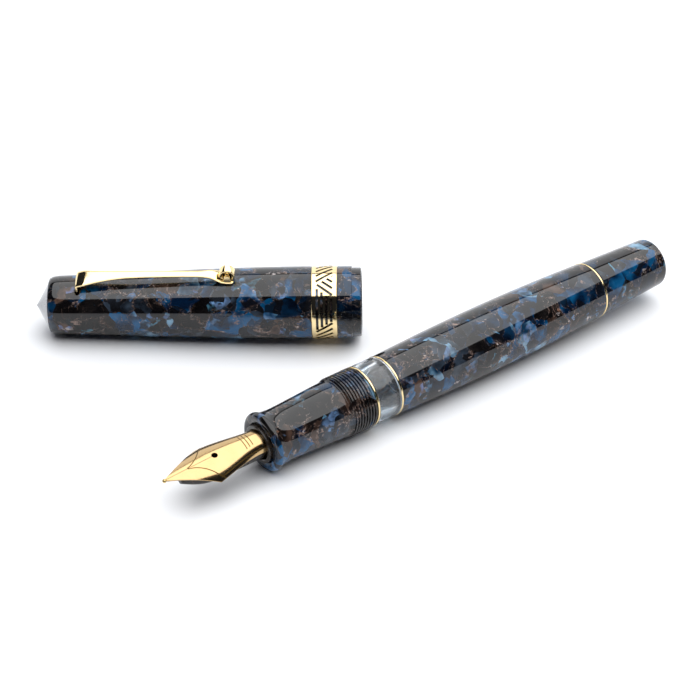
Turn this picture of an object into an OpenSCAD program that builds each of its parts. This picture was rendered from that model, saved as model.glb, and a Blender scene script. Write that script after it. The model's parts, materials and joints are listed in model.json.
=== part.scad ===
// Piston-filling fountain pen with its screw cap lying beside it.
// Millimetres, +Z up. The pen and the cap lie on the plane z = 0.
// The origin is under the middle of the outline that the two make on the table.
// Every turned piece of the pen is drawn along +X, which is the pen's own axis: station 0 is the
// tail-side edge of the front trim ring, and the nib points to -X. The cap is drawn along its
// own +X in the same way: station 0 is the crown-side edge of the pierced band.

/* [Pen body] */
// Largest radius of the barrel
belly_r = 6.84; // [6.7:0.02:7]
// Station of the largest radius
belly_at = 32; // [30:1:34]
// Radius over the crests of the cap thread
thread_r = 6.28; // [6.2:0.02:6.3]
// Pitch of the cap thread
thread_pitch = 0.67; // [0.6:0.01:0.8]
// Length of the clear ink window between its two rings
window_l = 5.35; // [4.5:0.05:6]
// Station of the tail end of the filler knob
tail_at = 79.4; // [77:0.2:80]
// Radius of the rolled lip at the front of the grip
grip_lip_r = 6; // [5.7:0.1:6.1]
// Radius of the grip's waist
grip_waist_r = 5.37; // [5.2:0.01:5.45]

/* [Nib] */
// Length of nib that stands out of its housing
nib_out = 20.85; // [19:0.05:21.5]
// Half width across the shoulders of the nib
nib_half_w = 4.6; // [4.3:0.05:4.65]
// Thickness of the nib's sheet
nib_t = 0.35; // [0.25:0.05:0.4]
// How far the nib is turned about the pen's axis, in degrees
nib_roll = 12; // [0:1:20]

/* [Cap] */
// Radius of the cap at its mouth end
cap_r = 7.58; // [7.55:0.01:7.8]
// Radius of the cap at its crown end
cap_crown_r = 6.1; // [6:0.05:6.3]
// Length of the cap's tube, band to crown
cap_l = 54.5; // [54:0.5:56]
// Height of the conical crown
crown_h = 3.2; // [2:0.2:3.6]
// Width of the pierced band
band_w = 5.3; // [4.8:0.1:5.6]
// How far the cap is turned about its own axis, in degrees
cap_roll = 14.3; // [0:0.1:20]

/* [Filling mechanism] */
// Travel of the piston
stroke = 25; // [20:1:25]
// Radius of the ink chamber
chamber_r = 4.6; // [4.4:0.05:4.65]
// Radius of the threaded spindle
spindle_r = 1.45; // [1.3:0.05:1.5]

/* [Hidden] */
$fn = 96;

// Colours
resin = "midnightblue";
gold = "gold";
brass = "darkgoldenrod";
ebonite = "#1d1712";
clear = [0.8, 0.87, 0.92, 0.45];
seal_black = "dimgray";

// Fits
// Clearance between pieces that are fixed together
fixed_gap = 0.03;
// Radial clearance of a piece that turns or slides in another
running_gap = 0.07;
// Gap between the faces of pieces that move past each other
face_gap = 0.15;
// How far a cutting shape runs past the face it cuts
past = 1;

// Where the pen lies
// Direction of the pen's axis on the table, in degrees from +X
pen_yaw = 38.477;
// Rise of the pen's axis towards its tail, in degrees: it rests on its grip's lip and its belly
pen_rise = 0.949;
// Place of station 0 of the pen
pen_at = [1.483, -11.837, 6.389];

// Where the cap lies: along +X, resting on the straight cone between its crown and its flare
cap_at = [-8.94, 18.791, 7.993];
flare_from = -24;
cap_slope = (cap_r - cap_crown_r) / (cap_l + flare_from / 2);
cap_rise = atan(cap_slope);

// Stations of the pen
ring_w = 0.45;
ring_proud = 0.05;
thread_to = -ring_w;
thread_from = -6.5;
collar_from = -6.85;
grip_front = -24.3;
window_ring_at = window_l;
barrel_from = window_l + ring_w;
barrel_to = 60.5;
knob_from = barrel_to + ring_w + face_gap;

// Radii of the pen
spigot_r = 5.3;
thread_root_r = thread_r - 0.34;
belly_curve = 0.00087;
window_front_r = 6.2;
window_back_r = 6.24;
knob_front_r = 6.03;
knob_tail_r = 5.27;
housing_front_r = 3.9;
housing_r = 3.6;
housing_bore_r = 3.12;
mechanism_bore_r = 5;

// Radius of the barrel at a station: a long shallow arch
function barrel_r(s) = belly_r - belly_curve * pow(s - belly_at, 2);

// Stations of the filling mechanism, with the piston at the back
spigot_end = barrel_from + 3.4;
chamber_to = 36.2;
piston_stop = 5.6;
piston_from = piston_stop + stroke;
piston_to = piston_from + 5;
rod_to = piston_to + stroke + 6;
guide_to = 40;
mechanism_to = 54.5;
flange_to = 56.4;
core_wall_at = rod_to + 1;
core_to = 70;
rod_r = 2.7;
rod_flat = 2.2;
core_bore_r = 2.85;
core_neck_r = 3.6;
core_flange_r = 4.3;
core_knob_r = 4.2;

// Stations and radii of the cap
mouth_from = band_w + fixed_gap;
step_at = 8.35;
mouth_at = 10.3;
lip_r = 7.2;
cap_spigot_r = 7.3;
cap_spigot_to = 6.6;
cap_bore_r = 6.45;
cap_thread_r = 6.38;
liner_r = 5.5;
liner_bore_r = 4.9;
liner_from = -39;
liner_to = -14.3;
head_bore_r = 3.6;
head_bore_to = -43.5;
crown_at = -cap_l;
crown_base_r = 5.75;
crown_round_l = 1.9;
anchor_from = -52.6;
anchor_to = -44.2;

// Radius of the cap's tube at a station: a straight cone that flares level towards the mouth
function tube_r(x) =
    x < flare_from
        ? cap_crown_r + cap_slope * (x + cap_l)
        : cap_r + cap_slope * x * x / (2 * flare_from);

// Clip: heights are radii from the cap's axis
clip_slot_at = -48.6;
clip_t = 0.55;
clip_leg_t = 0.7;
clip_end = -17.2;
leg_half_w = 2.15;
leg_foot_r = 4.3;
strip_half_w = 0.79;
fork_half_w = 1.62;
ear_half_w = 1.5;
ear_r = 0.62;
fork_tip_l = 1.25;
roller_r = 1.62;
roller_half_l = 0.95;
roller_gap = 0.1;
axle_r = 0.35;
roller_h = tube_r(clip_end) + roller_r + roller_gap;

// Underside of the clip: it climbs from the leg, falls a little, then drops beside the roller
clip_crest_h = 8.82;
clip_leg_drop = 1.35;
clip_end_drop = 0.2;
clip_bend_from = 0.88;
fork_h = tube_r(clip_end);
function strip_h(u) =
    u < 0.5
        ? clip_crest_h - clip_leg_drop * pow(1 - 2 * u, 2.2)
        : clip_crest_h - clip_end_drop * pow((u - 0.5) / (clip_bend_from - 0.5), 2);

// Height of the clip's underside over the cap's axis, 0 at the leg and 1 at the roller
function clip_h(u) =
    u < clip_bend_from
        ? strip_h(u)
        : strip_h(clip_bend_from)
            - (strip_h(clip_bend_from) - fork_h) * ease(u, clip_bend_from, 1);

// Half width of the clip: the head plate tapers to the strip, and the strip spreads to the fork
head_spread = 1.29;
head_to = 0.36;
taper = 0.17;
taper_to = 0.75;
taper_l = 0.38;
fork_from = 0.8;
fork_l = 0.16;
function clip_half_w(u) =
    min(leg_half_w,
        strip_half_w
        + head_spread * pow(max(0, 1 - u / head_to), 1.95)
        + taper * pow(max(0, (taper_to - u) / taper_l), 1.4)
        + (fork_half_w - strip_half_w) * pow(min(1, max(0, (u - fork_from) / fork_l)), 1.6));

// 0 to 1 as a value runs from one limit to another, level at both ends
function ease(v, lo, hi) =
    let (t = min(1, max(0, (v - lo) / (hi - lo)))) t * t * (3 - 2 * t);

// ---------------------------------------------------------------- placing

// Puts a piece drawn along the pen's axis where the pen lies
module pen_place(roll = 0) {
    translate(pen_at)
        rotate([0, 0, pen_yaw])
            rotate([roll, -pen_rise, 0])
                children();
}

// Puts a piece drawn along the cap's axis where the cap lies
module cap_place() {
    translate(cap_at)
        rotate([0, -cap_rise, 0])
            rotate([cap_roll, 0, 0])
                children();
}

// A solid of revolution about +X from an outline of [radius, station] points
module turned(outline) {
    rotate([0, 90, 0])
        rotate_extrude()
            polygon(outline);
}

// A plain ring about +X
module ring(from, to, outer_r, inner_r) {
    turned([[inner_r, from], [outer_r, from], [outer_r, to], [inner_r, to]]);
}

// A rod about +X
module rod(from, to, r) {
    translate([from, 0, 0])
        rotate([0, 90, 0])
            cylinder(h = to - from, r = r);
}

// A trim ring with softly broken outer edges
module trim_ring(from, outer_r, inner_r) {
    turned([
        [inner_r, from],
        [outer_r - 0.12, from],
        [outer_r, from + 0.12],
        [outer_r, from + ring_w - 0.12],
        [outer_r - 0.12, from + ring_w],
        [inner_r, from + ring_w]
    ]);
}

// ---------------------------------------------------------------- pen body

// Crests of the cap thread, one ridge to a pitch, from the collar to the front ring
thread_n = floor((thread_to - thread_from) / thread_pitch);
function thread_outline() = [
    for (i = [0 : thread_n - 1])
        for (corner = [[0.08, 0], [0.26, 1], [0.42, 1], [0.6, 0]])
            [
                thread_root_r + corner[1] * (thread_r - thread_root_r),
                thread_from + (i + corner[0]) * thread_pitch
            ]
];

// Rolled lip at the front of the grip, as a half circle
lip_roll_r = 0.95;
grip_waist_at = -19.7;
function lip_outline() = [
    for (a = [180 : -15 : 60])
        [
            grip_lip_r - lip_roll_r + lip_roll_r * sin(a),
            grip_front + lip_roll_r + lip_roll_r * cos(a)
        ]
];

module grip_section() {
    color(resin)
        pen_place()
            difference() {
                turned(concat(
                    [[0, thread_to], [0, grip_front]],
                    lip_outline(),
                    [
                        [grip_waist_r + 0.1, grip_waist_at - 1.5],
                        [grip_waist_r, grip_waist_at],
                        [grip_waist_r + 0.09, grip_waist_at + 2.7],
                        [grip_waist_r + 0.29, grip_waist_at + 6.7],
                        [grip_waist_r + 0.49, grip_waist_at + 10.7],
                        [grip_waist_r + 0.53, collar_from - 0.3],
                        [thread_root_r + 0.04, collar_from],
                        [thread_root_r + 0.14, collar_from + 0.1],
                        [thread_root_r + 0.14, thread_from - 0.1],
                        [thread_root_r, thread_from]
                    ],
                    thread_outline(),
                    [[thread_root_r, thread_to]]
                ));
                rod(grip_front - past, -20.5, housing_front_r + fixed_gap);
                rod(-21, -9.5, housing_r + fixed_gap);
                rod(-10, thread_to + past, 4.2);
                rod(-2.7, thread_to + past, spigot_r + fixed_gap);
            }
}

module front_trim_ring() {
    color(gold)
        pen_place()
            trim_ring(thread_to + fixed_gap / 2, window_front_r + ring_proud,
                spigot_r + fixed_gap);
}

module ink_window() {
    color(clear)
        pen_place()
            turned([
                [chamber_r, -2.6],
                [spigot_r, -2.6],
                [spigot_r, fixed_gap],
                [window_front_r, fixed_gap],
                [window_back_r, window_l - fixed_gap],
                [spigot_r, window_l - fixed_gap],
                [spigot_r, spigot_end],
                [chamber_r, spigot_end]
            ]);
}

module middle_trim_ring() {
    color(gold)
        pen_place()
            trim_ring(window_ring_at, barrel_r(barrel_from) + ring_proud, spigot_r + fixed_gap);
}

barrel_steps = 24;
module barrel() {
    color(resin)
        pen_place()
            turned(concat(
                [
                    for (i = [0 : barrel_steps])
                        let (s = barrel_from + fixed_gap
                            + (barrel_to - fixed_gap - barrel_from) * i / barrel_steps)
                            [barrel_r(s), s]
                ],
                [
                    [mechanism_bore_r, barrel_to],
                    [mechanism_bore_r, chamber_to],
                    [chamber_r, chamber_to],
                    [chamber_r, spigot_end + 0.1],
                    [spigot_r + fixed_gap, spigot_end + 0.1],
                    [spigot_r + fixed_gap, barrel_from + fixed_gap]
                ]
            ));
}

module tail_trim_ring() {
    color(gold)
        pen_place()
            trim_ring(barrel_to + fixed_gap / 2, barrel_r(barrel_to) + ring_proud,
                core_neck_r + running_gap);
}

// ---------------------------------------------------------------- nib unit

housing_front = grip_front - 0.65;
nib_tip = housing_front - nib_out;
nib_shoulder = nib_tip + 9.47;
nib_back = -17;
nib_shank_r = 3.08;
nib_blade_r = 5.6;
nib_shank_w = 2.95;
nib_tip_w = 0.34;
nib_tip_r = 1.6;
nib_bend_from = -30;
nib_bend = 0.78;

// Radius of the nib's cross-section: tight in the housing, wide at the shoulders, tight at the tip
function nib_curve_r(s) =
    s < nib_shoulder
        ? nib_tip_r + (nib_blade_r - nib_tip_r) * pow((s - nib_tip) / (nib_shoulder - nib_tip), 0.55)
        : nib_blade_r - (nib_blade_r - nib_shank_r) * ease(s, nib_shoulder, housing_front);

// Half width of the nib at a station: straight to the shoulders, then drawn in to the shank
function nib_side(s) = 1 - ease(s, nib_shoulder - 3, housing_front);
function nib_w(s) =
    s < nib_shoulder
        ? nib_tip_w + (nib_half_w - nib_tip_w) * (s - nib_tip) / (nib_shoulder - nib_tip)
        : nib_shank_w + (nib_half_w - nib_shank_w) * nib_side(s) / nib_side(nib_shoulder);

// Height of the nib's crest over the pen's axis: it bends down towards the tip
function nib_top(s) =
    nib_shank_r - nib_bend * pow(max(0, (nib_bend_from - s) / (nib_bend_from - nib_tip)), 1.3);

// One point of the nib's skin: station, share of the half width, depth below the outer skin
function nib_point(s, share, depth) =
    let (
        r = nib_curve_r(s),
        a = asin(nib_w(s) / r) * share
    )
        [s, (r - depth) * sin(a), nib_top(s) - r + (r - depth) * cos(a)];

nib_rows = 30;
nib_cols = 12;
module nib_sheet() {
    stations = [for (i = [0 : nib_rows]) nib_tip + (nib_back - nib_tip) * i / nib_rows];
    loop_n = 2 * (nib_cols + 1);
    points = [
        for (s = stations)
            for (j = [0 : loop_n - 1])
                j <= nib_cols
                    ? nib_point(s, 1 - 2 * j / nib_cols, 0)
                    : nib_point(s, 2 * (j - nib_cols - 1) / nib_cols - 1, nib_t)
    ];
    sides = [
        for (i = [0 : nib_rows - 1])
            for (j = [0 : loop_n - 1])
                let (k = (j + 1) % loop_n)
                    [i * loop_n + j, (i + 1) * loop_n + j, (i + 1) * loop_n + k, i * loop_n + k]
    ];
    triangles = [
        for (f = sides)
            for (t = [[f[0], f[1], f[2]], [f[0], f[2], f[3]]])
                t
    ];
    front = [
        for (j = [0 : nib_cols - 1])
            for (t = [[j, j + 1, loop_n - 2 - j], [j, loop_n - 2 - j, loop_n - 1 - j]])
                t
    ];
    back = [for (t = front) [for (v = [t[2], t[1], t[0]]) v + nib_rows * loop_n]];
    polyhedron(points = points, faces = concat(triangles, front, back), convexity = 6);
}

breather_r = 0.62;
breather_at = nib_tip + 10.7;
module nib() {
    color(gold)
        pen_place(nib_roll)
            difference() {
                nib_sheet();
                translate([breather_at, 0, 0])
                    cylinder(h = 2 * nib_shank_r, r = breather_r, $fn = 24);
            }
}

tipping_r = 0.42;
module nib_tipping() {
    color("silver")
        pen_place(nib_roll)
            translate([nib_tip - tipping_r - 0.02, 0, nib_top(nib_tip) - nib_t / 2])
                sphere(r = tipping_r, $fn = 32);
}

// The feed: a round stem in the housing, then a finned tongue under the nib
feed_r = nib_shank_r - nib_t - 0.05;
feed_tip = nib_tip + 3.2;
feed_back = -8.5;
fin_n = 9;
fin_gap = 0.35;
fin_step = 0.95;
module feed() {
    color(ebonite)
        pen_place(nib_roll)
            difference() {
                intersection() {
                    turned([
                        [0, feed_tip],
                        [0.6, feed_tip + 0.05],
                        [0.9, feed_tip + 0.5],
                        [2, feed_tip + 2.8],
                        [feed_r, feed_tip + 6.3],
                        [feed_r, -19],
                        [feed_r - 0.3, -18.6],
                        [feed_r - 0.3, feed_back],
                        [0, feed_back]
                    ]);
                    translate([feed_tip - past, -feed_r, -feed_r])
                        cube([feed_back - feed_tip + 2 * past, 2 * feed_r, 2 * feed_r - 0.75]);
                }
                for (i = [0 : fin_n - 1])
                    translate([feed_tip + 6 + i * fin_step, -feed_r, -feed_r - past])
                        cube([fin_gap, 2 * feed_r, feed_r + past - 0.6]);
                translate([feed_tip + 1, -0.2, 0.8])
                    cube([feed_back - feed_tip, 0.4, feed_r]);
            }
}

module nib_housing() {
    color(ebonite)
        pen_place()
            turned([
                [housing_bore_r, housing_front],
                [housing_front_r - 0.25, housing_front],
                [housing_front_r, housing_front + 0.25],
                [housing_front_r, -21.9],
                [housing_r - 0.45, -21.9],
                [housing_r - 0.45, -21],
                [housing_r, -21],
                [housing_r, -9.6],
                [housing_bore_r, -9.6]
            ]);
}

module housing_seal() {
    color(seal_black)
        pen_place()
            ring(-21.85, -21.05, housing_front_r, housing_r - 0.42);
}

// ---------------------------------------------------------------- filling mechanism

// A rod about +X with two flats, so that it slides but can't turn
module flatted_rod(from, to, r, half_flat) {
    intersection() {
        rod(from, to, r);
        translate([from, -r, -half_flat])
            cube([to - from, 2 * r, 2 * half_flat]);
    }
}

module mechanism_housing() {
    color(brass)
        pen_place()
            difference() {
                rod(chamber_to + 0.1, mechanism_to, mechanism_bore_r - fixed_gap);
                flatted_rod(chamber_to - past, guide_to + past, rod_r + running_gap,
                    rod_flat + running_gap);
                rod(guide_to, mechanism_to + past, 3.2);
            }
}

module retaining_ring() {
    color(brass)
        pen_place()
            ring(flange_to + face_gap, barrel_to - fixed_gap, mechanism_bore_r - fixed_gap,
                core_neck_r + running_gap);
}

module piston_rod() {
    color("ivory")
        pen_place()
            difference() {
                flatted_rod(piston_to, rod_to, rod_r, rod_flat);
                rod(piston_to + 1.4, rod_to + past, spindle_r + running_gap);
            }
}

// Grooves of the piston head, as the stations where each starts
seal_w = 1.1;
seal_at = [piston_from + 0.8, piston_from + 3];
module piston_head() {
    color("ivory")
        pen_place()
            difference() {
                turned([
                    [0, piston_from],
                    [3.2, piston_from],
                    [4.3, piston_from + 0.6],
                    [4.3, piston_to],
                    [0, piston_to]
                ]);
                for (at = seal_at)
                    ring(at, at + seal_w + 0.1, 4.3 + past, 3.6);
            }
}

module piston_seals() {
    color(seal_black)
        pen_place()
            for (at = seal_at)
                ring(at + 0.05, at + 0.05 + seal_w, chamber_r - 0.05, 3.63);
}

module filler_knob() {
    color(resin)
        pen_place()
            difference() {
                turned([
                    [0, knob_from],
                    [knob_front_r - 0.1, knob_from],
                    [knob_front_r, knob_from + 0.1],
                    [knob_tail_r, tail_at - 0.7],
                    [knob_tail_r - 0.18, tail_at - 0.25],
                    [knob_tail_r - 0.6, tail_at],
                    [0, tail_at]
                ]);
                rod(knob_from - past, core_to + fixed_gap, core_knob_r + fixed_gap);
            }
}

module knob_core() {
    color(brass)
        pen_place()
            turned([
                [core_bore_r, mechanism_to + face_gap],
                [core_flange_r, mechanism_to + face_gap],
                [core_flange_r, flange_to],
                [core_neck_r, flange_to],
                [core_neck_r, knob_from],
                [core_knob_r, knob_from],
                [core_knob_r, core_to],
                [spindle_r + fixed_gap, core_to],
                [spindle_r + fixed_gap, core_wall_at],
                [core_bore_r, core_wall_at]
            ]);
}

module spindle() {
    color("silver")
        pen_place()
            rod(38.5, core_to, spindle_r);
}

// ---------------------------------------------------------------- cap

// The slot that the clip's leg passes through, in the side of the tube
slot_gap = 0.2;
slot_side_gap = 0.45;
module clip_slot() {
    translate([clip_slot_at - slot_gap, -leg_half_w - slot_side_gap, 0])
        cube([clip_leg_t + 2 * slot_gap, 2 * (leg_half_w + slot_side_gap), cap_r]);
}

flare_steps = 8;
module cap_tube() {
    color(resin)
        cap_place()
            difference() {
                turned(concat(
                    [
                        [0, crown_at],
                        [crown_base_r, crown_at],
                        [crown_base_r + 0.23, crown_at + 0.45],
                        [tube_r(crown_at + crown_round_l), crown_at + crown_round_l]
                    ],
                    [
                        for (i = [0 : flare_steps])
                            let (x = flare_from - (flare_from + fixed_gap) * i / flare_steps)
                                [tube_r(x), x]
                    ],
                    [
                        [cap_spigot_r, -fixed_gap],
                        [cap_spigot_r, cap_spigot_to],
                        [0, cap_spigot_to]
                    ]
                ));
                rod(liner_to, cap_spigot_to + past, cap_bore_r);
                rod(liner_from - fixed_gap, liner_to + past, liner_r + fixed_gap);
                rod(crown_at - past, head_bore_to, head_bore_r);
                clip_slot();
            }
}

// Band pattern, repeated three times round the band. Each part has four long slots that run round
// the band, then four short ones that lean one way, then four that lean the other way.
// Angles are in degrees round the cap from the middle of the long slots.
band_r = cap_r + 0.04;
band_t = 0.29;
pattern_n = 3;
pattern_at = 56;
slot_n = 4;
slot_w = 0.46;
slot_step = 11;
slot_from = 0.95;
slot_to = band_w - 0.95;
// How far a leaning slot climbs round the cap, in degrees for each millimetre along it
slot_climb = 5.5;
long_half = 34.5;
low_at = 24.6;
high_at = 47.5;
// Distance of the long slots' middles from the ends of the leaning ones
long_inset = 0.25;
// Angle left between a lower leaning slot and the upper one that it runs up to
low_gap = 7;

// A slot between two places on the band, each a station and an angle
module leaning_slot(x1, a1, x2, a2) {
    run = (a2 - a1) * PI / 180 * band_r;
    rotate([pattern_at - (a1 + a2) / 2, 0, 0])
        translate([(x1 + x2) / 2, 0, band_r - band_t / 2])
            rotate([0, 0, atan2(run, x2 - x1)])
                cube([norm([x2 - x1, run]), slot_w, 2 * band_t], center = true);
}

// A slot round the band at one station, half_a degrees to each side
module long_slot(x, half_a) {
    rotate([pattern_at, 0, 0])
        intersection() {
            ring(x - slot_w / 2, x + slot_w / 2, band_r + past, band_r - band_t - past);
            rotate([90, 0, 90])
                translate([0, 0, x - past])
                    linear_extrude(height = 2 * past)
                        polygon([
                            [0, 0],
                            [-2 * cap_r * sin(half_a), 2 * cap_r * cos(half_a)],
                            [0, 2 * cap_r],
                            [2 * cap_r * sin(half_a), 2 * cap_r * cos(half_a)]
                        ]);
        }
}

module band_pattern() {
    for (i = [0 : slot_n - 1]) {
        long_run = i * (slot_to - slot_from - 2 * long_inset) / (slot_n - 1);
        long_slot(slot_from + long_inset + long_run, long_half - slot_climb * long_run);
        low_x = (slot_step * i - high_at + low_at + low_gap + slot_climb * (slot_from + slot_to))
            / (2 * slot_climb);
        leaning_slot(low_x, low_at + slot_step * i + slot_climb * (slot_to - low_x),
            slot_to, low_at + slot_step * i);
        leaning_slot(slot_from, high_at + slot_step * i,
            slot_to, high_at + slot_step * i + slot_climb * (slot_to - slot_from));
    }
}

module cap_band() {
    color(gold)
        cap_place()
            difference() {
                ring(fixed_gap / 2, band_w, band_r, band_r - band_t);
                for (i = [0 : pattern_n - 1])
                    rotate([i * 360 / pattern_n, 0, 0])
                        band_pattern();
            }
}

// Ridges of the thread inside the mouth, one to a pitch, pointing inwards
mouth_thread_n = 4;
function mouth_thread_outline() = [
    for (i = [mouth_thread_n - 1 : -1 : 0])
        for (corner = [[0.6, 0], [0.42, 1], [0.26, 1], [0.08, 0]])
            [
                cap_bore_r - corner[1] * (cap_bore_r - cap_thread_r),
                cap_spigot_to + 0.4 + (i + corner[0]) * thread_pitch
            ]
];

module cap_mouth_ring() {
    color(resin)
        cap_place()
            turned(concat(
                [
                    [cap_spigot_r + fixed_gap, mouth_from],
                    [cap_r - 0.03, mouth_from],
                    [cap_r - 0.03, step_at - 0.15],
                    [cap_r - 0.2, step_at],
                    [lip_r, step_at],
                    [lip_r, mouth_at - 0.3],
                    [lip_r - 0.3, mouth_at],
                    [cap_bore_r, mouth_at]
                ],
                mouth_thread_outline(),
                [
                    [cap_bore_r, cap_spigot_to + fixed_gap],
                    [cap_spigot_r + fixed_gap, cap_spigot_to + fixed_gap]
                ]
            ));
}

module inner_cap() {
    color(ebonite)
        cap_place()
            difference() {
                rod(liner_from, liner_to, liner_r);
                rod(liner_from + 1.4, liner_to + past, liner_bore_r);
            }
}

screw_r = 1.75;
screw_head_at = crown_at - 1.2;
module cap_crown() {
    color("slategray")
        cap_place()
            difference() {
                turned([
                    [0, crown_at - crown_h],
                    [crown_base_r, crown_at - fixed_gap],
                    [0, crown_at - fixed_gap]
                ]);
                rod(screw_head_at, crown_at + past, screw_r + fixed_gap);
            }
}

module crown_screw() {
    color(brass)
        cap_place()
            rod(screw_head_at + fixed_gap, -46, screw_r);
}

// The block in the crown that holds the clip's leg
module clip_anchor() {
    color(brass)
        cap_place()
            difference() {
                rod(anchor_from, anchor_to, head_bore_r - fixed_gap);
                rod(anchor_from - past, -46 + fixed_gap, screw_r + fixed_gap);
            }
}

// The clip: a tapering strip on a leg, with a fork at its end
clip_steps = 40;
clip_from = clip_slot_at;
clip_reach = clip_end - clip_from;
function clip_u(i) = i / clip_steps;

// Side view of the clip, as [station, radius] points along its under and upper faces
module clip_side_view() {
    polygon(concat(
        [[clip_from, leg_foot_r], [clip_from + clip_leg_t, leg_foot_r]],
        [[clip_from + clip_leg_t, clip_h(0.02)]],
        [for (i = [1 : clip_steps]) [clip_from + clip_reach * clip_u(i), clip_h(clip_u(i))]],
        [[clip_end + fork_tip_l, clip_h(1)]],
        [[clip_end + fork_tip_l, clip_h(1) + clip_t]],
        [
            for (i = [clip_steps : -1 : 1])
                [clip_from + clip_reach * clip_u(i), clip_h(clip_u(i)) + clip_t]
        ],
        [[clip_from + 0.25, clip_h(0) + clip_t], [clip_from, clip_h(0) + clip_t - 0.25]]
    ));
}

// Plan of the clip, as [station, half width] points along both sides
module clip_plan() {
    side = concat(
        [[clip_from - past, leg_half_w]],
        [for (i = [0 : clip_steps]) [clip_from + clip_reach * clip_u(i), clip_half_w(clip_u(i))]],
        [[clip_end + fork_tip_l - 0.3, fork_half_w], [clip_end + fork_tip_l, fork_half_w - 0.15]]
    );
    polygon(concat(side, [for (i = [len(side) - 1 : -1 : 0]) [side[i][0], -side[i][1]]]));
}

// A shape drawn in the clip's side view, as wide as given and centred across the clip
module across_clip(width) {
    translate([clip_end, width / 2, roller_h])
        rotate([90, 0, 0])
            linear_extrude(height = width)
                children();
}

// The room that the roller turns in, open towards the cap's mouth
module roller_room() {
    across_clip(2 * (roller_half_l + face_gap))
        union() {
            circle(r = roller_r + roller_gap);
            translate([0, -2 * roller_r])
                square([2 * roller_r, 4 * roller_r]);
        }
}

module clip() {
    color(gold)
        cap_place()
            difference() {
                union() {
                    intersection() {
                        translate([0, leg_half_w + past, 0])
                            rotate([90, 0, 0])
                                linear_extrude(height = 2 * (leg_half_w + past))
                                    clip_side_view();
                        linear_extrude(height = 2 * cap_r)
                            clip_plan();
                    }
                    across_clip(2 * ear_half_w)
                        hull() {
                            circle(r = ear_r);
                            translate([-ear_r, fork_h + clip_t / 2 - roller_h])
                                square([2 * ear_r, clip_t / 2]);
                        }
                }
                roller_room();
                across_clip(2 * fork_half_w)
                    circle(r = axle_r + fixed_gap);
            }
}

module roller_axle() {
    color(brass)
        cap_place()
            across_clip(2 * ear_half_w)
                circle(r = axle_r);
}

module clip_roller() {
    color(gold)
        cap_place()
            across_clip(2 * roller_half_l)
                difference() {
                    circle(r = roller_r);
                    circle(r = axle_r + running_gap);
                }
}

grip_section();
front_trim_ring();
ink_window();
middle_trim_ring();
barrel();
tail_trim_ring();
nib();
nib_tipping();
feed();
nib_housing();
housing_seal();
mechanism_housing();
retaining_ring();
piston_rod();
piston_head();
piston_seals();
filler_knob();
knob_core();
spindle();
cap_tube();
cap_band();
cap_mouth_ring();
inner_cap();
cap_crown();
crown_screw();
clip_anchor();
clip();
roller_axle();
clip_roller();
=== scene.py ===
"""The looks of a fountain pen and its cap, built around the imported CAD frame.

The pen's own axes: x along the pen, station 0 at the tail-side edge of the front ring, the nib
towards -x, y level, z up. The cap's own axes: x along the cap, station 0 at the crown-side edge
of the band, z through the middle of the clip. Lengths are millimetres in a piece's own axes and
become metres when its mesh is made.
"""
import json
import math

import bmesh
import bpy
from mathutils import Matrix, Vector


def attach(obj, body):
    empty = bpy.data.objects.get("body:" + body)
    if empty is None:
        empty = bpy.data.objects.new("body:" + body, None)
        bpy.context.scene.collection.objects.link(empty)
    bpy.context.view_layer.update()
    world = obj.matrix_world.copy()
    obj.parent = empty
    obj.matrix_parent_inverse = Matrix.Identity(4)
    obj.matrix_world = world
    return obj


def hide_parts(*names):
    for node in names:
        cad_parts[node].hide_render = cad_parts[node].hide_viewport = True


MM = 0.001
FIT = 0.03  # gap between two fixed pieces that meet
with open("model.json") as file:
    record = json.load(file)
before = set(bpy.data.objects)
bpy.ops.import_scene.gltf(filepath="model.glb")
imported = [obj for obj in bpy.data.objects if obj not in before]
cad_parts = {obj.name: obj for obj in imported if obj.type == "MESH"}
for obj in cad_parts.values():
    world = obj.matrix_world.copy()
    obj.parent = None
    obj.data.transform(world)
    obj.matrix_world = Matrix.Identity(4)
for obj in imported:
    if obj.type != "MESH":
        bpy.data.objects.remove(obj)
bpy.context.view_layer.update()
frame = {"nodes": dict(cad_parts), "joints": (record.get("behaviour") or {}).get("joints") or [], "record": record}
nodes = frame["nodes"]
joints = {j["name"]: j for j in frame["joints"]}
mounts = {m["name"]: m for m in frame["record"]["mounts"]}


# ------------------------------------------------------------------ axes from the frame


def own_axes(origin, x, z_hint):
    """The matrix of a piece's own axes: x as given, z as near z_hint as it can be."""
    x = Vector(x).normalized()
    z = Vector(z_hint)
    z = (z - x * z.dot(x)).normalized()
    made = Matrix((x, z.cross(x), z)).transposed().to_4x4()
    made.translation = origin
    return made


KNOB_PIVOT_STATION = 65.0
pen_x = Vector(joints["knob_turn"]["axis"]).normalized()
PEN = own_axes(
    Vector(joints["knob_turn"]["pos_m"]) - pen_x * KNOB_PIVOT_STATION * MM, pen_x, (0, 0, 1)
)

MOUTH_STATION = 10.3
cap_x = Vector(mounts["cap_thread"]["axis"]).normalized()
roller_y = -Vector(joints["roller_spin"]["axis"]).normalized()
CAP = own_axes(
    Vector(mounts["cap_thread"]["pos_m"]) - cap_x * MOUTH_STATION * MM,
    cap_x,
    cap_x.cross(roller_y),
)
NIB_ROLL = math.radians(12)
NIB = PEN @ Matrix.Rotation(NIB_ROLL, 4, "X")
ROLLER_CENTRE = (CAP.inverted() @ Vector(joints["roller_spin"]["pos_m"])) / MM


def reach(node, axes):
    """First station, last station and largest radius of a CAD node about the x of some axes."""
    inverse = axes.inverted()
    points = [inverse @ v.co / MM for v in nodes[node].data.vertices]
    stations = [p.x for p in points]
    return min(stations), max(stations), max(math.hypot(p.y, p.z) for p in points)


# ------------------------------------------------------------------ node trees


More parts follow.
